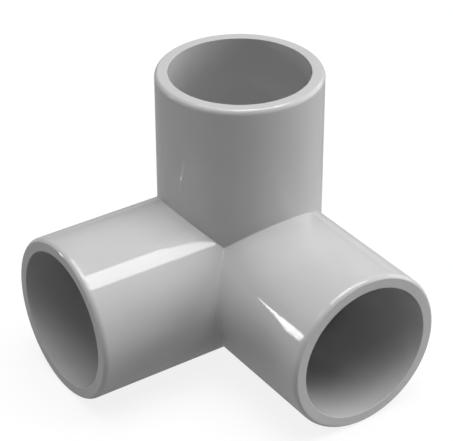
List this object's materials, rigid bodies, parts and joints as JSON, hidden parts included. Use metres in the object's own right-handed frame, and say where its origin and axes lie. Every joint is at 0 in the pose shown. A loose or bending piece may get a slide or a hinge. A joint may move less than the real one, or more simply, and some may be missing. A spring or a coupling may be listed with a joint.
{
  "type": "three-way pipe corner elbow",
  "caption": "Moulded plastic corner elbow that joins slip-in pipes at right angles in a corner, with stop ledges, an open junction and a rounded heel.",
  "frame": {"origin": "middle of the elbow's footprint, on the surface that its two level hubs lie on; the pipe axes cross at x -19.25 mm, y +19.25 mm, z +25 mm", "axes": "+X out of the right socket, -Y out of the front socket, +Z out of the top socket"},
  "size_m": [0.0886, 0.0886, 0.0885],
  "materials": {
    "pvc": "smooth moulded rigid PVC, light neutral grey, glossy"
  },
  "bodies": {
    "root": {"corner_elbow": "pvc"}
  },
  "joints": []
}
